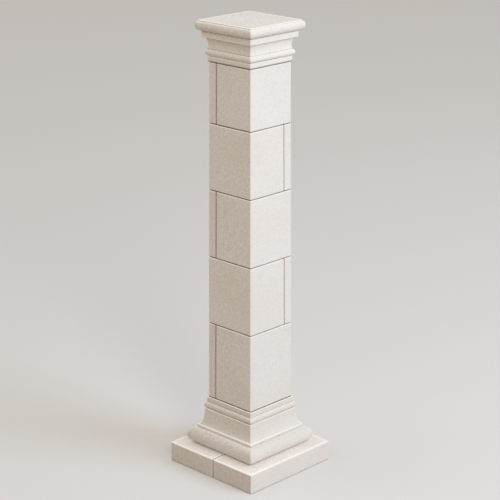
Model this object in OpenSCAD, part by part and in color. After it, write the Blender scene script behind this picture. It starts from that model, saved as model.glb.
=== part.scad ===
// A square column of hollow stone courses. A plinth in two halves carries a moulded base, a tapering
// shaft of five courses and a moulded capital. Each shaft course is two L-shaped corner stones, and
// every other course is laid the other way round, so that no upright joint runs through two courses.
// Millimetres, +Z up, origin on the ground under the middle of the column.

/* [Shaft] */
// Width across the faces of the shaft at its foot
shaft_foot_w = 305; // [240:1:400]
// Width across the faces of the shaft under the capital
shaft_top_w = 284; // [220:1:380]
// Thickness of the stones round the hollow
wall_t = 51; // [30:1:70]
// Height of the first course above the base
course_1_h = 408; // [200:1:600]
// Height of the second course
course_2_h = 356; // [200:1:600]
// Height of the third course
course_3_h = 350; // [200:1:600]
// Height of the fourth course
course_4_h = 340; // [200:1:600]
// Height of the fifth course, under the capital
course_5_h = 308; // [200:1:600]
// Width of the eased arris on the shaft stones
shaft_ease = 4; // [1:0.5:8]

/* [Plinth] */
// Width across the faces of the plinth
plinth_w = 587; // [500:1:760]
// Height of the plinth
plinth_h = 105; // [50:1:200]
// How far the joint between the plinth halves stands off the middle
plinth_joint_x = 18; // [-60:1:60]
// Width of the eased arris on the plinth halves
plinth_ease = 4; // [1:0.5:8]

/* [Base moulding] */
// Height of the large torus on the plinth
torus_h = 87; // [50:1:120]
// How far the torus stands out beyond the foot of the shaft
torus_out = 83; // [70:1:95]
// Height of the thin lip on the torus
lip_h = 16; // [8:1:30]
// How far the lip stands out beyond the foot of the shaft
lip_out = 44; // [35:1:55]
// Width of the ledge on top of the lip
lip_ledge = 4; // [1:1:8]
// Height of the scotia, the hollow curve above the lip
scotia_h = 89; // [40:1:140]
// How far the top of the scotia stands out beyond the foot of the shaft
scotia_out = 15; // [8:1:25]
// Height of the bead above the scotia
base_bead_h = 38; // [20:1:50]
// How far the bead stands out beyond the foot of the shaft
base_bead_out = 18.5; // [12:0.5:30]
// Height of the flat band on top of the base
base_band_h = 26; // [10:1:50]
// How far that band stands out beyond the foot of the shaft
base_band_out = 6; // [2:0.5:12]

/* [Capital moulding] */
// Height of the flat band at the foot of the capital
cap_band_h = 28; // [10:1:50]
// How far that band stands out beyond the top of the shaft
cap_band_out = 5; // [2:0.5:12]
// Height of the bead above the band
cap_bead_h = 36; // [20:1:50]
// How far the bead stands out beyond the top of the shaft
cap_bead_out = 15.5; // [10:0.5:30]
// Height of the hollow curve above the bead
cavetto_h = 55; // [30:1:100]
// How far the narrowest line of that curve stands out beyond the top of the shaft
cavetto_out = 2.5; // [0:0.5:8]
// Height of the narrowest line above the foot of the curve
cavetto_waist_h = 18; // [5:1:25]
// Radius of that curve
cavetto_r = 64; // [55:1:120]
// Height of the square fillet under the slab
fillet_h = 33; // [12:1:50]
// How far the fillet stands out beyond the top of the shaft
fillet_out = 26; // [20:1:40]
// Thickness of the round-edged slab on top
slab_h = 52; // [30:1:70]
// How far the slab stands out beyond the top of the shaft
slab_out = 50.5; // [42:0.5:80]
// Height of the slab's widest line above its underside
slab_nose_h = 28; // [16:1:40]
// Height of the small square edge round the top of the slab
slab_edge_h = 4; // [2:0.5:8]
// How far that edge stands in from the slab's widest line
slab_edge_in = 12.5; // [6:0.5:20]
// Thickness of stone over the hollow, at the top of the capital
cap_cover_t = 60; // [30:1:90]
// Width of the eased arris on the bands and fillets
band_ease = 2.5; // [0.5:0.5:4]

/* [Hidden] */
stone_colour = [0.86, 0.83, 0.78];
// Straight steps that stand for a quarter turn of a curve
curve_steps = 9;
// Least ledge that the fillet keeps over the head of the cavetto
cavetto_ledge = 2;
// How far a cutting solid reaches past what it cuts
past = 10;

course_h = [course_1_h, course_2_h, course_3_h, course_4_h, course_5_h];
foot_half = shaft_foot_w / 2;
top_half = shaft_top_w / 2;
bore_half = foot_half - wall_t;
base_h = torus_h + lip_h + scotia_h + base_bead_h + base_band_h;
capital_h = cap_band_h + cap_bead_h + cavetto_h + fillet_h + slab_h;
base_z = plinth_h;
shaft_z = base_z + base_h;
shaft_h = course_foot(len(course_h));
capital_z = shaft_z + shaft_h;

// Height of the foot of course i above the foot of the shaft
function course_foot(i) = i == 0 ? 0 : course_foot(i - 1) + course_h[i - 1];

// Half the width of the shaft at height z above its foot
function shaft_half(z) = foot_half + (top_half - foot_half) * z / shaft_h;

// Points along part of an ellipse: centre [x, z], half-sizes rx and rz, from angle a0 to a1
function curve(x, z, rx, rz, a0, a1, steps) =
    [for (i = [0:steps]) let (a = a0 + (a1 - a0) * i / steps) [x + rx * cos(a), z + rz * sin(a)]];

// Two points that take the sharp corner off an upright band's foot or head
function eased_foot(x, z, e) = [[x - e, z], [x, z + e]];
function eased_head(x, z, e) = [[x, z - e], [x - e, z]];

// A half-round moulding that stands out to x, from z up to z + h
function half_round(x, z, h) = curve(x - h / 2, z + h / 2, h / 2, h / 2, -90, 90, 2 * curve_steps);

// Outline of the base from its foot to its head, each point [half width, height]
function base_outline() =
    let (
        lip_z = torus_h,
        scotia_z = lip_z + lip_h,
        bead_z = scotia_z + scotia_h,
        band_z = bead_z + base_bead_h,
        lip_x = foot_half + lip_out,
        scotia_x = foot_half + scotia_out,
        curve_w = lip_x - lip_ledge - scotia_x,
        band_x = foot_half + base_band_out
    )
    concat(
        half_round(foot_half + torus_out, 0, torus_h),
        [[lip_x, lip_z]],
        eased_head(lip_x, scotia_z, band_ease),
        curve(scotia_x + curve_w, bead_z - band_ease, curve_w, scotia_h - band_ease,
              270, 180, curve_steps),
        [[scotia_x - band_ease, bead_z]],
        half_round(foot_half + base_bead_out, bead_z, base_bead_h),
        [[band_x, band_z]],
        eased_head(band_x, base_h, band_ease)
    );

// The edge of the slab, out to x and from z up: a round from the fillet out to its widest line, a
// tighter round above that, and a small square edge
function slab_outline(x, z) =
    let (
        under_in = slab_out - fillet_out,
        nose_h = min(slab_nose_h, slab_h - 2 * slab_edge_h),
        nose_z = z + nose_h,
        edge_x = x - slab_edge_in,
        edge_z = z + slab_h - slab_edge_h
    )
    concat(
        curve(x - under_in, nose_z, under_in, nose_h, -90, 0, curve_steps),
        curve(edge_x, nose_z, slab_edge_in, edge_z - nose_z, 90 / curve_steps, 90, curve_steps - 1),
        [[edge_x, z + slab_h]]
    );

// Outline of the capital from its foot to its head, each point [half width, height]
function capital_outline() =
    let (
        bead_z = cap_band_h,
        cavetto_z = bead_z + cap_bead_h,
        fillet_z = cavetto_z + cavetto_h,
        slab_z = fillet_z + fillet_h,
        band_x = top_half + cap_band_out,
        fillet_x = top_half + fillet_out,
        waist_x = top_half + cavetto_out,
        waist_z = cavetto_z + cavetto_waist_h,
        rise = cavetto_h - cavetto_waist_h,
        spread = fillet_out - cavetto_out - cavetto_ledge,
        hollow_r = max(cavetto_r, (rise * rise + spread * spread) / (2 * spread)),
        foot_angle = 180 + asin(cavetto_waist_h / hollow_r),
        head_angle = 180 - asin(rise / hollow_r)
    )
    concat(
        eased_foot(band_x, 0, band_ease),
        [[band_x, bead_z]],
        half_round(top_half + cap_bead_out, bead_z, cap_bead_h),
        curve(waist_x + hollow_r, waist_z, hollow_r, hollow_r, foot_angle, head_angle, curve_steps),
        eased_foot(fillet_x, fillet_z, band_ease),
        slab_outline(top_half + slab_out, slab_z)
    );

// A closed outline from one that gives only its right-hand side
function both_sides(right) =
    concat(right, [for (i = [len(right) - 1:-1:0]) [-right[i][0], right[i][1]]]);

// An outline in X and Z drawn out along Y, from y0 to y1
module along_y(outline, y0, y1) {
    translate([0, y1, 0]) rotate([90, 0, 0]) linear_extrude(height = y1 - y0) polygon(outline);
}

// An outline in Y and Z drawn out along X, from x0 to x1
module along_x(outline, x0, x1) {
    rotate([0, 0, 90]) along_y(outline, -x1, -x0);
}

// A square moulding: the same outline on all four sides, mitred at the corners
module square_moulding(right, reach) {
    intersection() {
        along_y(both_sides(right), -reach, reach);
        along_x(both_sides(right), -reach, reach);
    }
}

// A straight square hollow, from z0 to z1
module square_bore(half, z0, z1) {
    translate([-half, -half, z0]) cube([2 * half, 2 * half, z1 - z0]);
}

// Half of an eased upright face from z0 to z1, as wide as the shaft is there
function shaft_outline(z0, z1, e) =
    let (half0 = shaft_half(z0), half1 = shaft_half(z1))
    [[half0 - e, z0], [half0, z0 + e], [half1, z1 - e], [half1 - e, z1]];

// Cutting outline that leans with the shaft: from x0 to x1, each a distance in units of the half width
// plus a fixed amount, given as [share, amount]
function leaning(x0, x1, z0, z1) =
    let (half0 = shaft_half(z0), half1 = shaft_half(z1))
    [
        [x0[0] * half0 + x0[1], z0], [x1[0] * half0 + x1[1], z0],
        [x1[0] * half1 + x1[1], z1], [x0[0] * half1 + x0[1], z1]
    ];

// The front corner stone of a course from z0 to z1, with its corner at +X -Y. It takes all of the +X
// side, and the -Y side up to the end of the back stone. The two diagonal bands ease its upright
// arrises, those at the two joints too.
module front_stone(z0, z1) {
    low = z0 - past;
    high = z1 + past;
    reach = max(foot_half, top_half) + past;
    face = both_sides(shaft_outline(z0, z1, shaft_ease));
    bore = [1, -wall_t];
    far_corner = [sqrt(2), -shaft_ease / sqrt(2)];
    joint_corner = [-sqrt(2), (wall_t + shaft_ease) / sqrt(2)];
    joint_side = [0, (wall_t - shaft_ease) / sqrt(2)];
    difference() {
        intersection() {
            along_y(face, -reach, reach);
            along_x(face, -reach, reach);
            rotate([0, 0, 45]) along_y(leaning(joint_corner, far_corner, low, high), -2 * reach, 2 * reach);
            rotate([0, 0, 45]) along_x(leaning(-far_corner, joint_side, low, high), -2 * reach, 2 * reach);
        }
        intersection() {
            along_y(leaning([0, -2 * reach], bore, low, high), -reach - past, reach + past);
            along_x(leaning(-bore, [0, 2 * reach], low, high), -reach - past, reach + past);
        }
        along_y(leaning([0, -2 * reach], -bore, low, high), -reach - past, reach + past);
    }
}

// One corner stone of course i: the front one has its corner at +X -Y, the back one at -X +Y.
// An even course is turned over, which swaps its two sides.
module corner_stone(i, back) {
    color(stone_colour)
        translate([0, 0, shaft_z])
            rotate([0, 0, back ? 180 : 0])
                mirror(i % 2 == 0 ? [1, 1, 0] : [0, 0, 0])
                    front_stone(course_foot(i - 1), course_foot(i));
}

// A block from x0 to x1 and y0 to y1 on the ground, with every arris eased
module eased_block(x0, x1, y0, y1, h, e) {
    plan = [
        [x0 + e, y0], [x1 - e, y0], [x1, y0 + e], [x1, y1 - e],
        [x1 - e, y1], [x0 + e, y1], [x0, y1 - e], [x0, y0 + e]
    ];
    front = [[x0 + e, 0], [x1 - e, 0], [x1, e], [x1, h - e], [x1 - e, h], [x0 + e, h], [x0, h - e], [x0, e]];
    side = [[y0 + e, 0], [y1 - e, 0], [y1, e], [y1, h - e], [y1 - e, h], [y0 + e, h], [y0, h - e], [y0, e]];
    intersection() {
        linear_extrude(height = h) polygon(plan);
        along_y(front, y0 - past, y1 + past);
        along_x(side, x0 - past, x1 + past);
    }
}

// Half of the plinth, from x0 to x1, round the hollow
module plinth_half(x0, x1) {
    half = plinth_w / 2;
    color(stone_colour) difference() {
        eased_block(x0, x1, -half, half, plinth_h, plinth_ease);
        square_bore(bore_half, -past, plinth_h + past);
    }
}

module plinth_left() {
    plinth_half(-plinth_w / 2, plinth_joint_x);
}

module plinth_right() {
    plinth_half(plinth_joint_x, plinth_w / 2);
}

module base() {
    color(stone_colour) translate([0, 0, base_z]) difference() {
        square_moulding(base_outline(), plinth_w);
        square_bore(bore_half, -past, base_h + past);
    }
}

module capital() {
    color(stone_colour) translate([0, 0, capital_z]) difference() {
        square_moulding(capital_outline(), plinth_w);
        square_bore(top_half - wall_t, -past, capital_h - cap_cover_t);
    }
}

plinth_left();
plinth_right();
base();
for (i = [1:len(course_h)]) {
    corner_stone(i, false);
    corner_stone(i, true);
}
capital();
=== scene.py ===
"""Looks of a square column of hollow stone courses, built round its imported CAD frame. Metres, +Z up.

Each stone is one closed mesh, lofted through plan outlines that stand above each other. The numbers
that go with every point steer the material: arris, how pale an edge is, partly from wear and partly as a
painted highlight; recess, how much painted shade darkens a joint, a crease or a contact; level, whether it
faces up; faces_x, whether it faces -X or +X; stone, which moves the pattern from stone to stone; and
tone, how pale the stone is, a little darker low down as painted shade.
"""

import itertools
import math

import bpy
import numpy as np
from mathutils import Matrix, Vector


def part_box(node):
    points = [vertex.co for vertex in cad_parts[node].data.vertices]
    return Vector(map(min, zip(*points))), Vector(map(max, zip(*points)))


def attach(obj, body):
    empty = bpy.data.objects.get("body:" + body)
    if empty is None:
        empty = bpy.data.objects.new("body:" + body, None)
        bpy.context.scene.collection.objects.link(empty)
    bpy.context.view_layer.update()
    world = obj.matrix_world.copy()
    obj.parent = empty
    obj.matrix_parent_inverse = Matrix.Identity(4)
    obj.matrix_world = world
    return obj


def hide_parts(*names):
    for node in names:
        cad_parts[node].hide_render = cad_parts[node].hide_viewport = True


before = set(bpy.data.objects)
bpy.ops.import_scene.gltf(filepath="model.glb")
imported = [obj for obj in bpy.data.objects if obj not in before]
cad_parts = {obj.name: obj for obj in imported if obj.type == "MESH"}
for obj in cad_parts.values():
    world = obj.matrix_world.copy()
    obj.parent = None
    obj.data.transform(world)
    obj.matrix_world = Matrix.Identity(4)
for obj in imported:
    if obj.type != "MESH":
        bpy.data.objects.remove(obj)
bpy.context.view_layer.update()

MM = 0.001
COURSES = 5

# ---------------------------------------------------------------- sizes worked out from the frame

FIRST_LOW, FIRST_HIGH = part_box("course_1_front")
LAST_LOW, LAST_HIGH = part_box(f"course_{COURSES}_front")
PLINTH_LOW, PLINTH_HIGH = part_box("plinth_left")
BASE_LOW, BASE_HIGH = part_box("base")
CAPITAL_LOW, CAPITAL_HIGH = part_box("capital")

FOOT_HALF = FIRST_HIGH.x
WALL = FIRST_HIGH.x + FIRST_LOW.x
TAPER = (LAST_HIGH.x - FIRST_HIGH.x) / (LAST_LOW.z - FIRST_LOW.z)
TOP_HALF = FOOT_HALF + TAPER * (LAST_HIGH.z - FIRST_LOW.z)
PLINTH_HALF = -PLINTH_LOW.x
PLINTH_JOINT = PLINTH_HIGH.x


def shaft_half(z):
    """Half the width of the shaft at height z."""
    return FOOT_HALF + TAPER * (z - FIRST_LOW.z)


# ---------------------------------------------------------------- sizes of the mouldings and finish

# Base, from the plinth up: heights, and how far each part stands out beyond the foot of the shaft
TORUS_H, TORUS_OUT = 87 * MM, 83 * MM
LIP_H, LIP_OUT, LIP_LEDGE = 16 * MM, 44 * MM, 4 * MM
SCOTIA_H, SCOTIA_OUT = 89 * MM, 15 * MM
BASE_BEAD_H, BASE_BEAD_OUT = 38 * MM, 18.5 * MM
BASE_BAND_OUT = 6 * MM

# Capital, from the shaft up: heights, and how far each part stands out beyond the top of the shaft
CAP_BAND_H, CAP_BAND_OUT = 28 * MM, 5 * MM
CAP_BEAD_H, CAP_BEAD_OUT = 36 * MM, 15.5 * MM
CAVETTO_H, CAVETTO_OUT, CAVETTO_WAIST_H, CAVETTO_R = 55 * MM, 2.5 * MM, 18 * MM, 64 * MM
FILLET_H, FILLET_OUT = 33 * MM, 26 * MM
SLAB_OUT = 50.5 * MM
SLAB_NOSE_H, SLAB_EDGE_H, SLAB_EDGE_IN = 28 * MM, 4 * MM, 12.5 * MM
CAP_COVER_T = 60 * MM

# Rounding of the arrises: the corners, foot and head of a stone, the plinth, bands, the fillet's foot,
# the slab's edge and hidden corners, and the sharpest that an inner corner gets
STONE_ARRIS_R = 4.5 * MM
STONE_FOOT_R = 5 * MM
STONE_HEAD_R = 7 * MM
PLINTH_ARRIS_R = 5 * MM
BAND_ARRIS_R = 3 * MM
FILLET_FOOT_R = 4.5 * MM
SLAB_EDGE_R = 1.2 * MM
HIDDEN_R = 1.5 * MM
SHARPEST_R = 0.15 * MM
# Rounding of the arrises at the upright joints that show on the -Y and +Y faces, and on the -X and +X faces
JOINT_R_Y = 9 * MM
JOINT_R_X = 6.5 * MM
# Rounding of the mitres, and how much it grows with how far a moulding stands out
MITRE_R = 4 * MM
MITRE_GROWTH = 0.06
# Half the width of the open joints: between two courses, between the stones of a course, and between
# the plinth halves
BED_GAP = 0.5 * MM
JOINT_GAP = 0.25 * MM
PLINTH_GAP = 2 * MM
# Height of the groove under a lip or bead
QUIRK_H = 1.6 * MM
# How sharply the stone turns where an arris starts to get its pale line, partly wear and partly a painted
# highlight, and where it is palest
ARRIS_TURNS = 0.15, 0.65
# How strongly the painted highlight shows on the arrises at the upright joints and at the foot of a stone
JOINT_ARRIS = 0.25
FOOT_ARRIS = 0.3
# How far the pale line of an arris, partly wear and partly a painted highlight, reaches at the head of a
# stone and on a moulding; how far the painted shade in a crease reaches; and how far the pale line reaches
# on any other arris
HEAD_REACH = 4 * MM
BEND_REACH = 3.6 * MM
CREASE_REACH = 2.6 * MM
ARRIS_REACH = 2.4 * MM
# A pale rim, partly wear and partly a painted highlight, reaches further on a level top than on an
# upright face: this share of its length counts
RIM_SHARE = 0.35
# On the sides that face -X and +X the painted shade is lighter, as on the side that the key lamp lights:
# how dark their bed joints and creases are, next to those of the other sides
X_SIDE_BED_SHARE = 0.62
X_SIDE_CREASE_SHARE = 0.55
# How strongly a face turns to -X or +X where it starts to count as facing that way, and where it does fully
X_FACING_TURNS = 0.3, 0.9
# How strongly it faces up where it starts to count as level, and where it does fully
LEVEL_TURNS = 0.85, 0.98
# How far the head of a stone is set back where the painted shade in its joint starts and where it is
# darkest; the same under the capital, where it stands for the band's shadow; and the same at a stone's foot
HEAD_DEPTHS = 1.8 * MM, 4.4 * MM
CAPITAL_DEPTHS = 0.4 * MM, 3 * MM
FOOT_DEPTHS = 0, 0.7 * MM
# How dark the painted shade is in the upright joints on the -Y and +Y faces and on the -X and +X faces,
# and the depths at which it starts to darken and is darkest
JOINT_SHADE_Y, JOINT_DEPTHS_Y = 0.55, (0.3 * MM, 2.6 * MM)
JOINT_SHADE_X, JOINT_DEPTHS_X = 0.8, (1.4 * MM, 4.5 * MM)
# How dark the painted shade is in the creases under an overhang and on a ledge, and how sharply the stone
# turns inwards where a crease starts to darken and where it is darkest
CREASE_SHADE = 0.65
LEDGE_SHADE = 0.42
CREASE_TURNS = 0.15, 0.6
# How dark the painted shade is where a moulding meets the stone below, and up to what height
CONTACT_SHADE, CONTACT_H = 0.75, 8 * MM
# How far the painted shade under the shaft spreads on the ledge round its foot
FOOT_SHADE_SPREAD = 1.5 * MM
# How much painted shade darkens the top of the plinth towards the torus, and how far from its edge
PLINTH_TOP_SHADE, TOP_SHADE_REACH = 0.03, (14 * MM, 70 * MM)
# Depths at which the painted shade in the plinth's joint, and at its foot, starts to darken and is darkest
PLINTH_JOINT_DEPTHS = 2.4 * MM, 5 * MM
PLINTH_FOOT_DEPTHS = 0.2 * MM, 1.4 * MM

# Spacing of the points on faces that show, on hidden faces and on tight curves
FACE_STEP = 5 * MM
PROFILE_STEP = 3.2 * MM
HIDDEN_STEP = 18 * MM
ARC_STEP = 2.6 * MM
# Distances from an arris at which a face gets its first points
NEAR_ARRIS = np.array([1.1, 2.8, 5.6]) * MM


# ---------------------------------------------------------------- outlines

def smoothstep(value, low, high):
    share = np.clip((value - low) / (high - low), 0, 1)
    return share * share * (3 - 2 * share)


def arc(x, z, rx, rz, start, end):
    """Points on part of an ellipse, from one angle to another in degrees."""
    length = abs(math.radians(end - start)) * max(rx, rz)
    turns = abs(end - start) / 20
    steps = math.ceil(max(length / ARC_STEP, turns))
    angles = np.radians(np.linspace(start, end, steps + 1))
    return np.column_stack([x + rx * np.cos(angles), z + rz * np.sin(angles)])


def eased_head(x, z, r):
    """The rounded arris at the top of an upright face."""
    return arc(x - r, z - r, r, r, 0, 90)


def eased_foot(x, z, r):
    """The rounded arris at the foot of an upright face."""
    return arc(x - r, z + r, r, r, -90, 0)


def shares(length, step):
    """Where a straight stretch gets its points, as shares of its length: closer near both ends."""
    near = NEAR_ARRIS if length > 4 * NEAR_ARRIS[-1] else np.zeros(0)
    first = near[-1] if len(near) else 0.0
    count = max(1, round((length - 2 * first) / step))
    middle = np.linspace(first, length - first, count + 1)
    if not len(near):
        return middle[1:-1] / length
    return np.concatenate([near[:-1], middle, length - near[-2::-1]]) / length


def filled_in(outline, step):
    """The same outline with points added along its long straight stretches."""
    points = [outline[0]]
    for a, b in zip(outline[:-1], outline[1:]):
        length = np.linalg.norm(b - a)
        if length < 1e-7:
            continue
        if length > 1.6 * step:
            points.extend(a + (b - a) * share for share in shares(length, step))
        points.append(b)
    return np.array(points)


def nearby(points, closed, reach, level_share):
    """Weights that gather values from near each point of an outline.

    level_share is how much of the length of a level stretch counts.
    """
    after = (np.roll(points, -1, axis=0) - points) * (level_share, 1)
    lengths = np.linalg.norm(after, axis=1)
    along = np.concatenate([[0], np.cumsum(lengths)[:-1]])
    distance = np.abs(along[:, None] - along[None, :])
    if closed:
        distance = np.minimum(distance, lengths.sum() - distance)
    return np.exp(-((distance / reach) ** 2))


def turning(points, closed, reach=ARRIS_REACH, level_share=1.0, weights=1.0, side=1):
    """How much an outline turns near each of its points: 1 is a square corner.

    Only turns outwards count or, with side -1, only turns inwards.
    """
    before = points - np.roll(points, 1, axis=0)
    after = np.roll(points, -1, axis=0) - points
    cross = before[:, 0] * after[:, 1] - before[:, 1] * after[:, 0]
    turn = np.arctan2(cross, (before * after).sum(axis=1))
    if not closed:
        turn[0] = turn[-1] = 0
    turn = np.maximum(side * turn, 0) * weights
    return nearby(points, closed, reach, level_share) @ turn / (math.pi / 2)


def overhanging(points, closed):
    """How much an outline that runs upwards leans out over what is below it: 0 is a ledge."""
    step = np.roll(points, -1, axis=0) - points
    weights = nearby(points, closed, 3 * MM, 1.0)
    lean = (weights @ step[:, 0]) / (weights @ np.linalg.norm(step, axis=1))
    return smoothstep(lean, -0.4, 0.4)


def uprightness(points):
    """How upright an outline runs at each of its points: 1 is upright and 0 is level."""
    along = np.gradient(points, axis=0)
    return np.abs(along[:, 1]) / np.maximum(np.linalg.norm(along, axis=1), 1e-9)


def ring(corners, radii, edge_shares, inset, turns):
    """Points round a square-cornered plan. inset moves each edge inwards, and rounds the corners less."""
    count = len(corners)
    edges = [corners[(i + 1) % count] - corners[i] for i in range(count)]
    lengths = [np.linalg.norm(e) for e in edges]
    inward = [np.array([-e[1], e[0]]) / length for e, length in zip(edges, lengths)]
    arcs = []
    for i, corner in enumerate(corners):
        before, after = inward[i - 1], inward[i]
        side = 1 if edges[i - 1][0] * edges[i][1] - edges[i - 1][1] * edges[i][0] > 0 else -1
        radius = min(max(radii[i] - side * inset, SHARPEST_R), 0.4 * min(lengths))
        middle = corner + (before + after) * (inset + side * radius)
        angles = np.linspace(0, math.pi / 2, turns[i] + 1)[:, None]
        arcs.append(middle - side * radius * (before * np.cos(angles) + after * np.sin(angles)))
    points = []
    for i in range(count):
        start, end = arcs[i][-1], arcs[(i + 1) % count][0]
        points.append(arcs[i])
        points.append(start + (end - start) * edge_shares[i][:, None])
    return np.vstack(points)


def plan_shares(corners, steps):
    """Where each edge of a plan gets its points."""
    count = len(corners)
    return [shares(np.linalg.norm(corners[(i + 1) % count] - corners[i]), steps[i]) for i in range(count)]


def corner_turns(radii):
    """How many straight steps stand for each corner of a plan."""
    return [max(2, math.ceil(radius / (0.9 * MM))) for radius in radii]


def square_plan(half):
    return np.array([[half, -half], [half, half], [-half, half], [-half, -half]])


# ---------------------------------------------------------------- small unevenness of the stone

# A fixed turn, so that the noise has no direction in common with the faces
NOISE_TURN = np.array([[0.36, 0.48, -0.8], [-0.8, 0.6, 0.0], [0.48, 0.64, 0.6]])


def noise(points, wavelength, seed):
    """Smooth noise from 0 to 1 at each point, the same on every run."""
    place = points @ NOISE_TURN / wavelength + 500.0
    cell = np.floor(place).astype(np.int64)
    part = place - cell
    part = part * part * (3 - 2 * part)
    total = np.zeros(len(points))
    for corner in itertools.product((0, 1), repeat=3):
        x, y, z = (cell + np.array(corner)).T
        mixed = (x * 73856093) ^ (y * 19349663) ^ (z * 83492791) ^ (seed * 2654435)
        mixed = ((mixed ^ (mixed >> 13)) * 1274126177) & 0xFFFFFFFF
        value = ((mixed ^ (mixed >> 16)) & 0xFFFF) / 65535
        weight = np.prod(np.where(np.array(corner), part, 1 - part), axis=1)
        total += weight * value
    return total


WAVE_DEPTH, WAVE_LENGTH = 0.45 * MM, 110 * MM
DRESSING_DEPTH, DRESSING_LENGTH = 0.34 * MM, 20 * MM
NICK_DEPTH, NICK_LENGTH = 1.1 * MM, 14 * MM


def wear(points, arris, seed):
    """How far each point lies below the true surface: slow waves, dressing marks and nicked arrises."""
    waves = WAVE_DEPTH * noise(points, WAVE_LENGTH, seed)
    dressing = DRESSING_DEPTH * noise(points, DRESSING_LENGTH, seed + 1)
    nicks = NICK_DEPTH * arris * noise(points, NICK_LENGTH, seed + 2) ** 3
    return waves + dressing + nicks


# ---------------------------------------------------------------- meshes

def lofted_stone(node, rings, arris, recess, closed, material, seed):
    """A closed mesh through the rings, dented by wear and given its material, that stands for the node.

    closed joins the last ring to the first.
    """
    levels, count = rings.shape[:2]
    points = rings.reshape(-1, 3)
    index = np.arange(levels * count).reshape(levels, count)
    if closed:
        index = np.vstack([index, index[:1]])
    low, high = index[:-1], index[1:]
    quads = np.stack([low, np.roll(low, -1, axis=1), np.roll(high, -1, axis=1), high], axis=-1)
    faces = quads.reshape(-1, 4).tolist()
    if not closed:
        faces.append(index[0][::-1].tolist())
        faces.append(index[-1].tolist())
    mesh = bpy.data.meshes.new(f"{node}_stone")
    mesh.from_pydata(points.tolist(), [], faces)
    mesh.update()

    normals = np.zeros(len(points) * 3, np.float32)
    mesh.vertex_normals.foreach_get("vector", normals)
    depth = wear(points, arris.ravel(), seed)
    points = points - normals.reshape(-1, 3) * depth[:, None]
    mesh.vertices.foreach_set("co", points.ravel())
    level = smoothstep(normals[2::3], *LEVEL_TURNS)
    sideways = np.maximum(np.hypot(normals[::3], normals[1::3]), 0.05)
    # How much a face turns to -X or +X: there the material weakens the mottling, the painted highlight on the
    # arrises and the painted shade towards the ground
    faces_x = smoothstep(np.abs(normals[::3]) / sideways, *X_FACING_TURNS) * (1 - level)
    shares_out = {
        "arris": arris, "recess": recess, "level": level, "faces_x": faces_x,
        "stone": np.full(arris.shape, seed / 7), "tone": np.full(arris.shape, TONES.get(node[:8], 1.0)),
    }
    for name, values in shares_out.items():
        attribute = mesh.attributes.new(name, "FLOAT", "POINT")
        attribute.data.foreach_set("value", values.ravel().astype(np.float32))
    mesh.update()
    mesh.shade_smooth()
    mesh.set_sharp_from_angle(angle=math.radians(38))

    piece = bpy.data.objects.new(f"{node}_stone", mesh)
    bpy.context.scene.collection.objects.link(piece)
    mesh.materials.append(material)
    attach(piece, "root")
    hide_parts(node)
    return piece


def upright_levels(z0, z1, foot_r, head_r):
    """How far the outline stands back at each height of an upright stone with rounded foot and head."""
    foot = eased_foot(0, z0, foot_r)
    head = eased_head(0, z1, head_r)
    return filled_in(np.vstack([foot, head]), FACE_STEP)


def upright_stone(node, plan_at, levels, radii, steps, recess_of, material, seed):
    """A stone with upright faces. plan_at gives its corners at a height, recess_of how dark its painted shade
    is.
    """
    middle = levels[len(levels) // 2]
    edge_shares = plan_shares(plan_at(middle[1]), steps)
    turns = corner_turns(radii)
    rings = []
    for set_out, z in levels:
        outline = ring(plan_at(z), radii, edge_shares, -set_out, turns)
        rings.append(np.column_stack([outline, np.full(len(outline), z)]))
    rings = np.array(rings)
    counts = [turn + 1 + len(share) for turn, share in zip(turns, edge_shares)]
    weights = np.repeat([JOINT_ARRIS if r in (JOINT_R_X, JOINT_R_Y) else 1.0 for r in radii], counts)
    corners = turning(ring(plan_at(middle[1]), radii, edge_shares, 0, turns), True, weights=weights)
    corners = corners[None, :] * uprightness(levels)[:, None]
    # A pale line along the head, partly wear and partly a painted highlight; weaker along the foot, which
    # faces down
    heads = turning(levels, False, HEAD_REACH, RIM_SHARE) * np.where(levels[:, 1] > middle[1], 1, FOOT_ARRIS)
    arris = smoothstep(np.maximum(heads[:, None], corners), *ARRIS_TURNS)
    recess = recess_of(rings, -levels[:, :1])
    return lofted_stone(node, rings, arris, recess, False, material, seed)


# ---------------------------------------------------------------- shaft stones

def corner_plan(half, swapped, back):
    """The L-shaped plan of a corner stone, anticlockwise, starting from its outer corner."""
    inner = half - WALL
    plan = np.array([
        [half, -half], [half, half], [inner + JOINT_GAP, half],
        [inner + JOINT_GAP, -inner - JOINT_GAP], [-inner + JOINT_GAP, -inner - JOINT_GAP],
        [-inner + JOINT_GAP, -half],
    ])
    if swapped:
        plan = np.array([plan[0], *plan[:0:-1]]) @ np.array([[0, -1], [-1, 0]])
    return -plan if back else plan


def shaft_recess(rings, set_back, head_depths):
    """How dark the painted shade is at each point of a joint.

    Under a stone the joint is dark at once, and on top of one only at its back.
    """
    across, along = np.abs(rings[..., 0]), np.abs(rings[..., 1])
    depth = shaft_half(rings[..., 2]) - np.maximum(across, along) - set_back
    upper = rings[:, :1, 2] > rings[..., 2].mean()
    bed = np.where(upper, smoothstep(set_back, *head_depths), smoothstep(set_back, *FOOT_DEPTHS))
    # Lighter painted shade in the bed joints on the sides that face -X or +X
    bed = bed * np.where(along > across, 1, X_SIDE_BED_SHARE)
    upright_y = JOINT_SHADE_Y * smoothstep(depth, *JOINT_DEPTHS_Y)
    upright_x = JOINT_SHADE_X * smoothstep(depth, *JOINT_DEPTHS_X)
    return np.maximum(bed, np.where(along > across, upright_y, upright_x))


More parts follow.
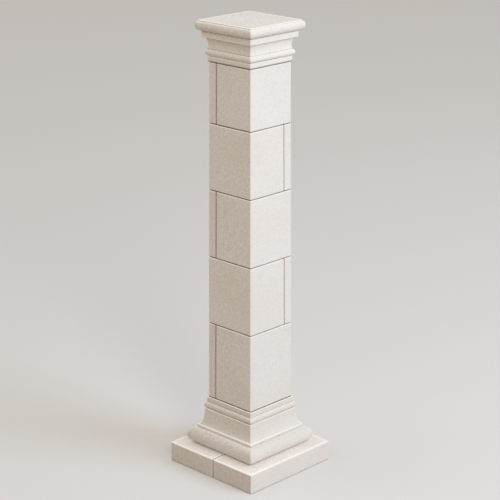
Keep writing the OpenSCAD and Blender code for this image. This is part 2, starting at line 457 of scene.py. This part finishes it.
def build_shaft(material):
    for course in range(1, COURSES + 1):
        swapped = course % 2 == 0
        for back in (False, True):
            node = f"course_{course}_{'back' if back else 'front'}"
            low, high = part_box(node)
            joint_r = JOINT_R_X if swapped else JOINT_R_Y
            radii = [STONE_ARRIS_R, STONE_ARRIS_R, joint_r, HIDDEN_R, HIDDEN_R, joint_r]
            steps = [FACE_STEP] * 2 + [HIDDEN_STEP] * 3 + [FACE_STEP]
            if swapped:
                radii = [radii[0], *radii[:0:-1]]
                steps = steps[::-1]
            levels = upright_levels(low.z + BED_GAP, high.z - BED_GAP, STONE_FOOT_R, STONE_HEAD_R)
            # Under the capital the head gets a wider painted shade, for the shadow of the band
            head_depths = CAPITAL_DEPTHS if course == COURSES else HEAD_DEPTHS
            plan_at = lambda z: corner_plan(shaft_half(z), swapped, back)
            recess_of = lambda rings, set_back: shaft_recess(rings, set_back, head_depths)
            upright_stone(node, plan_at, levels, radii, steps, recess_of, material, 10 * course + 3 * back)


# ---------------------------------------------------------------- plinth

def plinth_plan(side):
    """The U-shaped plan of a plinth half, anticlockwise: side is -1 for the left half and 1 for the right."""
    joint = PLINTH_JOINT + side * PLINTH_GAP
    outer, bore = side * PLINTH_HALF, side * (FOOT_HALF - WALL)
    half, hollow = PLINTH_HALF, FOOT_HALF - WALL
    plan = np.array([
        [joint, -half], [outer, -half], [outer, half], [joint, half],
        [joint, hollow], [bore, hollow], [bore, -hollow], [joint, -hollow],
    ])
    return plan if side > 0 else plan[::-1]


def plinth_recess(rings, set_back):
    """How dark the painted shade is at each point: deep in the joint, at the foot, or on the top near the
    torus.
    """
    from_side = PLINTH_HALF - np.abs(rings[..., :2]).max(axis=-1)
    from_top = PLINTH_HIGH.z - rings[..., 2]
    joint = smoothstep(np.minimum(from_side, from_top), *PLINTH_JOINT_DEPTHS)
    foot = smoothstep(set_back, *PLINTH_FOOT_DEPTHS) * (rings[..., 2] < PLINTH_ARRIS_R)
    torus_shade = PLINTH_TOP_SHADE * smoothstep(from_side, *TOP_SHADE_REACH) * (from_top < 0.1 * MM)
    return np.maximum(np.maximum(joint, foot), torus_shade)


def build_plinth(material):
    for node, side in (("plinth_left", -1), ("plinth_right", 1)):
        low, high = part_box(node)
        levels = upright_levels(low.z, high.z, PLINTH_ARRIS_R, PLINTH_ARRIS_R)
        # The top shows round the torus, so it gets points of its own
        reach = 0.45 * (PLINTH_HALF - FOOT_HALF + WALL)
        top = filled_in(np.array([levels[-1], [-reach, high.z]]), 2 * FACE_STEP)[1:]
        levels = np.vstack([levels, top])
        radii = [PLINTH_ARRIS_R] * 4 + [HIDDEN_R] * 4
        steps = [FACE_STEP] * 3 + [HIDDEN_STEP] * 5
        if side < 0:
            radii = radii[::-1]
            steps = [*steps[-2::-1], steps[-1]]
        plan_at = lambda z: plinth_plan(side)
        upright_stone(node, plan_at, levels, radii, steps, plinth_recess, material, 70 + 5 * side)


# ---------------------------------------------------------------- mouldings

def square_moulding(node, outline, hidden, closed, shaft, material, seed):
    """A moulding with the same outline on all four sides, outside a shaft of the given half width.

    hidden is 1 for each level that never shows.
    """
    from_foot = outline[:, 1] - outline[:, 1].min()
    # Painted shade where the moulding meets the stone below
    contact = CONTACT_SHADE * smoothstep(-from_foot, -CONTACT_H, -0.4 * CONTACT_H) * (outline[:, 0] > shaft)
    nominal = square_plan(outline[:, 0].max())
    edge_shares = plan_shares(nominal, [FACE_STEP] * 4)
    turns = corner_turns([2 * MITRE_R] * 4)
    rings = []
    for half, z in outline:
        radius = MITRE_R + MITRE_GROWTH * max(0.0, half - shaft)
        plan = ring(square_plan(half), [radius] * 4, edge_shares, 0, turns)
        rings.append(np.column_stack([plan, np.full(len(plan), z)]))
    rings = np.array(rings)
    # A pale line, partly wear and partly a painted highlight, where the outline bends and along the mitres
    bend = turning(outline, closed, BEND_REACH, RIM_SHARE)
    mitre = turning(ring(nominal, [MITRE_R] * 4, edge_shares, 0, turns), True)
    spread = 1 + MITRE_GROWTH * np.maximum(0, outline[:, 0] - shaft) / MITRE_R
    mitre = mitre[None, :] * (uprightness(outline) / spread)[:, None]
    arris = smoothstep(np.maximum(bend[:, None], mitre), *ARRIS_TURNS)
    # Painted shade in the creases, darker under an overhang than on a ledge
    shade = LEDGE_SHADE + (CREASE_SHADE - LEDGE_SHADE) * overhanging(outline, closed)
    crease = shade * smoothstep(turning(outline, closed, CREASE_REACH, side=-1), *CREASE_TURNS)
    # Lighter painted shade in the creases on the sides that face -X or +X
    faces_x = np.abs(rings[..., 0]) > np.abs(rings[..., 1])
    recess = crease[:, None] * np.where(faces_x, X_SIDE_CREASE_SHARE, 1)
    recess = np.maximum(recess, np.maximum(hidden, contact)[:, None])
    return lofted_stone(node, rings, arris, recess, closed, material, seed)


def bead(x, z, h, start, end):
    """A half-round that stands out to x from z up to z + h, between two angles."""
    return arc(x - h / 2, z + h / 2, h / 2, h / 2, start, end)


def angle_at(x, centre, radius):
    """The angle above the middle of a circle at which it reaches x."""
    return math.degrees(math.acos((x - centre) / radius))


def base_outline():
    """The outer side of the base from its foot up, then its top, its hollow and its underside."""
    foot = BASE_LOW.z
    lip_z = foot + TORUS_H
    scotia_z = lip_z + LIP_H
    bead_z = scotia_z + SCOTIA_H
    band_z = bead_z + BASE_BEAD_H
    head = BASE_HIGH.z
    lip_x = FOOT_HALF + LIP_OUT
    ledge_x = lip_x - LIP_LEDGE
    scotia_x = FOOT_HALF + SCOTIA_OUT
    bead_x = FOOT_HALF + BASE_BEAD_OUT
    band_x = FOOT_HALF + BASE_BAND_OUT
    bore = FOOT_HALF - WALL
    lip_r = 0.6 * BAND_ARRIS_R
    torus_end = angle_at(lip_x - lip_r, FOOT_HALF + TORUS_OUT - TORUS_H / 2, TORUS_H / 2)
    bead_r = BASE_BEAD_H / 2
    quirk_x = scotia_x - 2 * BAND_ARRIS_R
    bead_start = -angle_at(quirk_x, bead_x - bead_r, bead_r)
    bead_end = angle_at(band_x, bead_x - bead_r, bead_r)
    shows = np.vstack([
        bead(FOOT_HALF + TORUS_OUT, foot, TORUS_H, -90, torus_end),
        [[ledge_x - lip_r, lip_z], [ledge_x - lip_r, lip_z + QUIRK_H]],
        eased_foot(lip_x, lip_z + QUIRK_H, lip_r),
        eased_head(lip_x, scotia_z, BAND_ARRIS_R),
        arc(ledge_x, bead_z - BAND_ARRIS_R, ledge_x - scotia_x, SCOTIA_H - BAND_ARRIS_R, 270, 180),
        eased_head(scotia_x, bead_z, BAND_ARRIS_R),
        [[quirk_x, bead_z]],
        bead(bead_x, bead_z, BASE_BEAD_H, bead_start, bead_end),
        [[band_x, band_z]],
        eased_head(band_x, head, BAND_ARRIS_R),
        # The painted shade under the shaft starts here, on the ledge round its foot
        [[FOOT_HALF + FOOT_SHADE_SPREAD, head]],
    ])
    hidden = np.array([[FOOT_HALF + FOOT_SHADE_SPREAD, head], [FOOT_HALF, head], [bore, head], [bore, foot]])
    underside = np.array([[bore, foot], [FOOT_HALF + TORUS_OUT - TORUS_H / 2, foot]])
    parts = [
        filled_in(shows, PROFILE_STEP),
        filled_in(hidden, HIDDEN_STEP)[1:],
        filled_in(underside, HIDDEN_STEP)[1:-1],
    ]
    marks = np.concatenate([np.zeros(len(parts[0])), np.ones(len(parts[1]) + len(parts[2]))])
    return np.vstack(parts), marks


def capital_outline():
    """The capital's hollow from the top down, its foot, its outer side up, and its top to the middle."""
    foot = CAPITAL_LOW.z
    bead_z = foot + CAP_BAND_H
    cavetto_z = bead_z + CAP_BEAD_H
    fillet_z = cavetto_z + CAVETTO_H
    slab_z = fillet_z + FILLET_H
    head = CAPITAL_HIGH.z
    bore = TOP_HALF - WALL
    band_x = TOP_HALF + CAP_BAND_OUT
    bead_x = TOP_HALF + CAP_BEAD_OUT
    fillet_x = TOP_HALF + FILLET_OUT
    slab_x = TOP_HALF + SLAB_OUT
    slab_under = slab_x - fillet_x
    nose_z = slab_z + SLAB_NOSE_H
    edge_x = slab_x - SLAB_EDGE_IN
    cavetto_x = TOP_HALF + CAVETTO_OUT + CAVETTO_R
    waist_z = cavetto_z + CAVETTO_WAIST_H
    foot_angle = 180 + math.degrees(math.asin(CAVETTO_WAIST_H / CAVETTO_R))
    head_angle = 180 - math.degrees(math.asin((CAVETTO_H - CAVETTO_WAIST_H) / CAVETTO_R))
    foot_x = cavetto_x + CAVETTO_R * math.cos(math.radians(foot_angle))
    bead_r = CAP_BEAD_H / 2
    quirk_x = band_x - 2 * BAND_ARRIS_R
    hidden = np.array([
        [1 * MM, head - CAP_COVER_T], [bore, head - CAP_COVER_T], [bore, foot],
        [TOP_HALF - STONE_ARRIS_R, foot],
    ])
    shows = np.vstack([
        [[TOP_HALF - STONE_ARRIS_R, foot]],
        eased_foot(band_x, foot, BAND_ARRIS_R),
        eased_head(band_x, bead_z, BAND_ARRIS_R),
        [[quirk_x, bead_z], [quirk_x, bead_z + QUIRK_H]],
        bead(bead_x, bead_z, CAP_BEAD_H, -65, angle_at(foot_x, bead_x - bead_r, bead_r)),
        arc(cavetto_x, waist_z, CAVETTO_R, CAVETTO_R, foot_angle, head_angle),
        eased_foot(fillet_x, fillet_z, FILLET_FOOT_R),
        arc(fillet_x, nose_z, slab_under, SLAB_NOSE_H, -90, 0),
        arc(edge_x, nose_z, SLAB_EDGE_IN, head - SLAB_EDGE_H - nose_z, 0, 90),
        eased_head(edge_x, head, SLAB_EDGE_R),
    ])
    top = np.array([shows[-1], [MITRE_R + 2 * MM, head]])
    parts = [
        filled_in(hidden, HIDDEN_STEP)[:-1],
        filled_in(shows, PROFILE_STEP),
        filled_in(top, 1.4 * FACE_STEP)[1:],
    ]
    marks = np.concatenate([np.ones(len(parts[0])), np.zeros(len(parts[1]) + len(parts[2]))])
    return np.vstack(parts), marks


def build_mouldings(material):
    outline, hidden = base_outline()
    square_moulding("base", outline, hidden, True, FOOT_HALF, material, 81)
    outline, hidden = capital_outline()
    square_moulding("capital", outline, hidden, False, TOP_HALF, material, 91)


# ---------------------------------------------------------------- stone

STONE_COLOUR = (0.800, 0.770, 0.745)
CREAM_COLOUR = (0.800, 0.755, 0.715)
# The pale line of the arrises, partly wear and partly a painted highlight
ARRIS_COLOUR = (0.965, 0.940, 0.900)
# The dark brown that recess mixes in: painted shade in joints, creases, at contacts and on the plinth top
PAINTED_SHADE_COLOUR = (0.170, 0.104, 0.054)
# How pale each stone is, by the start of its name, where it isn't 1: the base and the lowest courses are a
# little darker, painted shade that adds to the darkening towards the ground
TONES = {"base": 0.96, "course_1": 0.975, "course_2": 0.99}
# Painted shade for light that falls off towards the ground: what the stone is multiplied by at the ground,
# and less and less up to this height
GROUND_SHADE_TINT, GROUND_SHADE_TOP = (0.88, 0.862, 0.83), 0.55
# How far apart, and in which direction, the patterns of two stones lie
PATTERN_SHIFT = (3.1, 1.7, 2.3)


class Nodes:
    """Adds nodes to a node tree, and links or sets their inputs."""

    def __init__(self, owner):
        owner.use_nodes = True
        self.tree = owner.node_tree
        self.tree.nodes.clear()

    def node(self, kind, inputs, **settings):
        """A new node. inputs maps a socket's name or number to a value or to another node's output."""
        node = self.tree.nodes.new(kind)
        for name, value in settings.items():
            setattr(node, name, value)
        for socket, value in inputs.items():
            if isinstance(value, bpy.types.NodeSocket):
                self.tree.links.new(value, node.inputs[socket])
            else:
                node.inputs[socket].default_value = value
        return node

    def math(self, operation, a, b=0.0, c=0.0, clamp=False):
        return self.node("ShaderNodeMath", {0: a, 1: b, 2: c}, operation=operation, use_clamp=clamp).outputs[0]

    def noise(self, vector, scale, detail, roughness):
        inputs = {"Vector": vector, "Scale": scale, "Detail": detail, "Roughness": roughness}
        return self.node("ShaderNodeTexNoise", inputs).outputs[0]

    def stretched(self, vector, scale, rotation=(0, 0, 0)):
        inputs = {"Vector": vector, "Scale": scale, "Rotation": rotation}
        return self.node("ShaderNodeMapping", inputs).outputs[0]

    def attribute(self, name):
        return self.node("ShaderNodeAttribute", {}, attribute_name=name).outputs["Fac"]

    def mix(self, share, a, b, blend="MIX"):
        inputs = {0: share, 6: colour(a), 7: colour(b)}
        return self.node("ShaderNodeMix", inputs, data_type="RGBA", blend_type=blend).outputs[2]

    def output(self, kind, shader):
        self.node(kind, {"Surface": shader})


def colour(value):
    return value if isinstance(value, bpy.types.NodeSocket) else (*value, 1.0)


def stone_material():
    """Fine cast stone: clouds of cream in off-white, mottled, with a pale line on the arrises, partly wear and
    partly a painted highlight, and painted shade in joints and creases, on level tops and towards the ground.
    """
    material = bpy.data.materials.new("cast_stone")
    n = Nodes(material)
    place = n.node("ShaderNodeTexCoord", {}).outputs["Object"]
    height = n.node("ShaderNodeSeparateXYZ", {0: place}).outputs["Z"]
    # How much painted shade for the light falling off towards the ground: full at the ground, none higher up
    ground_shade = n.math("MULTIPLY_ADD", height, -1 / GROUND_SHADE_TOP, 1.0, clamp=True)
    faces_x = n.attribute("faces_x")
    shift = {0: PATTERN_SHIFT, "Scale": n.attribute("stone")}
    shift = n.node("ShaderNodeVectorMath", shift, operation="SCALE")
    place = n.node("ShaderNodeVectorMath", {0: place, 1: shift.outputs[0]}, operation="ADD").outputs[0]

    clouds = n.noise(place, 3.2, 3, 0.5)
    mottles = n.noise(place, 82, 3, 0.6)
    grain = n.noise(place, 170, 2, 0.6)
    # Marks of the float on level tops, which run along the diagonal
    turned = n.stretched(place, (1, 1, 1), (0, 0, math.radians(-42)))
    float_marks = n.noise(n.stretched(turned, (4, 20, 4)), 1, 3, 0.55)
    float_marks = n.math("MULTIPLY_ADD", float_marks, n.attribute("level"), 0.0)

    uneven = 0.0
    for value, amount in ((clouds, 0.08), (mottles, 0.46), (grain, 0.30)):
        uneven = n.math("MULTIPLY_ADD", n.math("SUBTRACT", value, 0.5), amount, uneven)
    # Weaker mottling on faces that turn to -X or +X
    strength = n.math("MULTIPLY_ADD", faces_x, -0.55, 1.0)
    shade = n.math("MULTIPLY_ADD", uneven, strength, n.attribute("tone"))
    shade = n.math("MULTIPLY_ADD", float_marks, 0.14, shade)
    # Painted shade on level tops, which face the light from above: darkest high up, and none at the ground
    level_shade = n.math("MULTIPLY_ADD", ground_shade, 0.12, -0.12)
    shade = n.math("MULTIPLY_ADD", n.attribute("level"), level_shade, shade)
    cream = n.math("MULTIPLY_ADD", clouds, 2.4, -0.7, clamp=True)
    tint = n.mix(cream, CREAM_COLOUR, STONE_COLOUR)
    grey = n.node("ShaderNodeCombineColor", {0: shade, 1: shade, 2: shade}).outputs[0]
    tint = n.mix(1.0, tint, grey, blend="MULTIPLY")
    # The painted shade towards the ground, weaker on faces that turn to -X or +X and on level tops
    ground_shade = n.math("MULTIPLY", ground_shade, n.math("MULTIPLY_ADD", faces_x, -0.7, 1.0))
    ground_shade = n.math("MULTIPLY", ground_shade, n.math("MULTIPLY_ADD", n.attribute("level"), -0.6, 1.0))
    tint = n.mix(ground_shade, tint, GROUND_SHADE_TINT, blend="MULTIPLY")
    # A pale line on the arrises, partly wear and partly a painted highlight, weaker on faces that turn to -X
    # or +X
    wear_and_highlight = n.math("MULTIPLY", n.attribute("arris"), n.math("MULTIPLY_ADD", faces_x, -0.6, 1.0))
    tint = n.mix(wear_and_highlight, tint, ARRIS_COLOUR)
    # The dark brown, mixed in by recess: painted shade
    tint = n.mix(n.attribute("recess"), tint, PAINTED_SHADE_COLOUR)

    relief = n.math("MULTIPLY_ADD", mottles, 1.0, n.math("MULTIPLY", grain, 0.5))
    bump = n.node("ShaderNodeBump", {"Height": relief, "Strength": 1.0, "Distance": 0.7 * MM}).outputs[0]
    roughness = n.math("MULTIPLY_ADD", mottles, 0.16, 0.72)
    shader = n.node("ShaderNodeBsdfPrincipled", {
        "Base Color": tint, "Roughness": roughness, "Normal": bump, "Specular IOR Level": 0.3,
    })
    n.output("ShaderNodeOutputMaterial", shader.outputs[0])
    return material


# ---------------------------------------------------------------- floor, light and camera

# What the camera sees of the floor and beyond it, and the duller colours with which they light the stone
FLOOR_SEEN = (0.71, 0.70, 0.69)
FLOOR_LIT = (0.425, 0.376, 0.317)
BACKDROP_SEEN = (0.71, 0.70, 0.69)
ROOM_LIGHT = (0.528, 0.484, 0.440)
FLOOR_SIZE = 120.0

# Large round lamps that aim at the middle of the shaft: azimuth, elevation, size, level and colour. A
# level of 1 makes a surface that faces the lamp show its colour as written. Azimuth 0 is -Y, and 90 is +X.
LAMP_DISTANCE, LAMP_AIM = 12.0, 1.2
KEY = (110, 27, 7.2, 0.590, (0.650, 0.807, 1.0))
FILL = (62, 28, 4.0, 0.245, (1.0, 0.88, 0.72))
# Light from far away: azimuth, elevation, width in degrees, level, colour, and whether it casts shadows
BACK = (258, 18, 30, 0.36, (1.0, 0.97, 0.92), False)
SKY = (300, 50, 50, 0.13, (0.80, 0.90, 1.0), True)

CAMERA_DISTANCE, CAMERA_HEIGHT = 8.003, 3.750
CAMERA_AZIMUTH, CAMERA_DIP = 44.24, 17.95
CAMERA_LENS, CAMERA_SENSOR = 120.08, 36.0


def seen_directly(n):
    """1 for what the camera sees, straight or in a reflection, and 0 for what lights the stone."""
    path = n.node("ShaderNodeLightPath", {})
    seen = n.math("ADD", path.outputs["Is Camera Ray"], path.outputs["Is Glossy Ray"])
    return n.math("ADD", seen, path.outputs["Is Transmission Ray"], clamp=True)


def build_floor():
    half = FLOOR_SIZE / 2
    mesh = bpy.data.meshes.new("floor")
    corners = [(-half, -half, 0), (half, -half, 0), (half, half, 0), (-half, half, 0)]
    mesh.from_pydata(corners, [], [(0, 1, 2, 3)])
    floor = bpy.data.objects.new("floor", mesh)
    bpy.context.scene.collection.objects.link(floor)
    material = bpy.data.materials.new("pale_floor")
    n = Nodes(material)
    tint = n.mix(seen_directly(n), FLOOR_LIT, FLOOR_SEEN)
    shader = n.node("ShaderNodeBsdfDiffuse", {"Color": tint})
    n.output("ShaderNodeOutputMaterial", shader.outputs[0])
    mesh.materials.append(material)


def build_world():
    world = bpy.data.worlds.new("studio")
    bpy.context.scene.world = world
    n = Nodes(world)
    tint = n.mix(seen_directly(n), ROOM_LIGHT, BACKDROP_SEEN)
    shader = n.node("ShaderNodeBackground", {"Color": tint, "Strength": 1.0})
    n.output("ShaderNodeOutputWorld", shader.outputs[0])


def build_lamp(name, azimuth, elevation, size, level, tint):
    light = bpy.data.lights.new(name, "AREA")
    light.shape = "DISK"
    light.size = size
    light.energy = level * math.pi ** 2 * LAMP_DISTANCE ** 2
    light.color = tint
    lamp = bpy.data.objects.new(name, light)
    bpy.context.scene.collection.objects.link(lamp)
    azimuth, elevation = math.radians(azimuth), math.radians(elevation)
    away, up = LAMP_DISTANCE * math.cos(elevation), LAMP_DISTANCE * math.sin(elevation)
    lamp.location = (away * math.sin(azimuth), -away * math.cos(azimuth), LAMP_AIM + up)
    lamp.rotation_euler = (math.pi / 2 - elevation, 0, azimuth)
    lamp.visible_camera = False


def build_far_light(name, azimuth, elevation, width, level, tint, shadows):
    light = bpy.data.lights.new(name, "SUN")
    light.energy = level * math.pi
    light.color = tint
    light.angle = math.radians(width)
    light.use_shadow = shadows
    lamp = bpy.data.objects.new(name, light)
    bpy.context.scene.collection.objects.link(lamp)
    lamp.rotation_euler = (math.radians(90 - elevation), 0, math.radians(azimuth))


def build_camera():
    camera = bpy.data.objects.new("camera", bpy.data.cameras.new("camera"))
    bpy.context.scene.collection.objects.link(camera)
    azimuth = math.radians(CAMERA_AZIMUTH)
    away = CAMERA_DISTANCE
    camera.location = (away * math.sin(azimuth), -away * math.cos(azimuth), CAMERA_HEIGHT)
    camera.rotation_euler = (math.radians(90 - CAMERA_DIP), 0, azimuth)
    camera.data.lens = CAMERA_LENS
    camera.data.sensor_width = CAMERA_SENSOR
    camera.data.clip_end = 2 * FLOOR_SIZE
    bpy.context.scene.camera = camera


stone = stone_material()
build_plinth(stone)
build_shaft(stone)
build_mouldings(stone)
build_floor()
build_world()
build_lamp("key", *KEY)
build_lamp("fill", *FILL)
build_far_light("back", *BACK)
build_far_light("sky", *SKY)
build_camera()
bpy.context.scene.view_settings.view_transform = "Standard"
